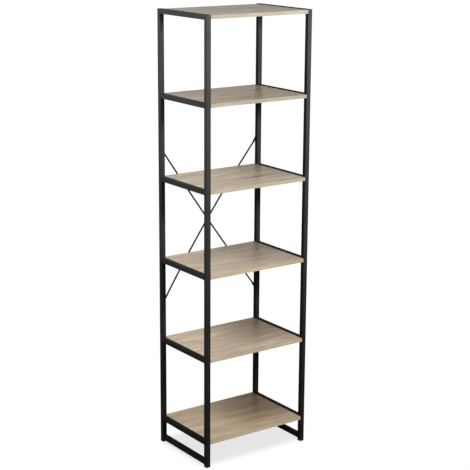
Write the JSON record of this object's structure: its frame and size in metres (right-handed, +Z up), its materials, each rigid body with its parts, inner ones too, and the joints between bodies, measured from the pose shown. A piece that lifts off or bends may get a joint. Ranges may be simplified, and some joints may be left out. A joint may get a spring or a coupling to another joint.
{
  "type": "metal shelving unit",
  "caption": "Tall slim open shelving unit with square steel tube side frames, wood decor boards, a crossed rod brace at the back and flat foot caps.",
  "frame": {"origin": "on the floor, below the middle of the whole unit's box, brace rods included", "axes": "+Z up, front towards -Y, +X to the right seen from the front"},
  "size_m": [0.51, 0.3745, 1.85],
  "materials": {
    "frame": "satin dark grey powder coat",
    "board": "matt greyish oak decor on particleboard, grain left to right",
    "edge_band": "matt pale oak edge band",
    "fastener": "plain zinc",
    "brace": "satin black powder coat",
    "brace_fastener": "black coated steel",
    "foot_cap": "matt black plastic"
  },
  "bodies": {
    "root": {"post_left_front": "frame", "post_left_rear": "frame", "post_right_front": "frame", "post_right_rear": "frame", "rail_left_1": "frame", "rail_left_2": "frame", "rail_left_3": "frame", "rail_left_4": "frame", "rail_left_5": "frame", "rail_left_6": "frame", "rail_right_1": "frame", "rail_right_2": "frame", "rail_right_3": "frame", "rail_right_4": "frame", "rail_right_5": "frame", "rail_right_6": "frame", "stretcher_left": "frame", "stretcher_right": "frame", "board_1": "board", "board_2": "board", "board_3": "board", "board_4": "board", "board_5": "board", "board_6": "board", "edge_bands_1": "edge_band", "edge_bands_2": "edge_band", "edge_bands_3": "edge_band", "edge_bands_4": "edge_band", "edge_bands_5": "edge_band", "edge_bands_6": "edge_band", "board_lugs_1": "frame", "board_lugs_2": "frame", "board_lugs_3": "frame", "board_lugs_4": "frame", "board_lugs_5": "frame", "board_lugs_6": "frame", "board_screws_1": "fastener", "board_screws_2": "fastener", "board_screws_3": "fastener", "board_screws_4": "fastener", "board_screws_5": "fastener", "board_screws_6": "fastener", "brace_rod_front": "brace", "brace_rod_rear": "brace", "brace_bolts": "brace_fastener", "rivet_nuts": "fastener", "foot_cap_left_front": "foot_cap", "foot_cap_left_rear": "foot_cap", "foot_cap_right_front": "foot_cap", "foot_cap_right_rear": "foot_cap"}
  },
  "joints": []
}
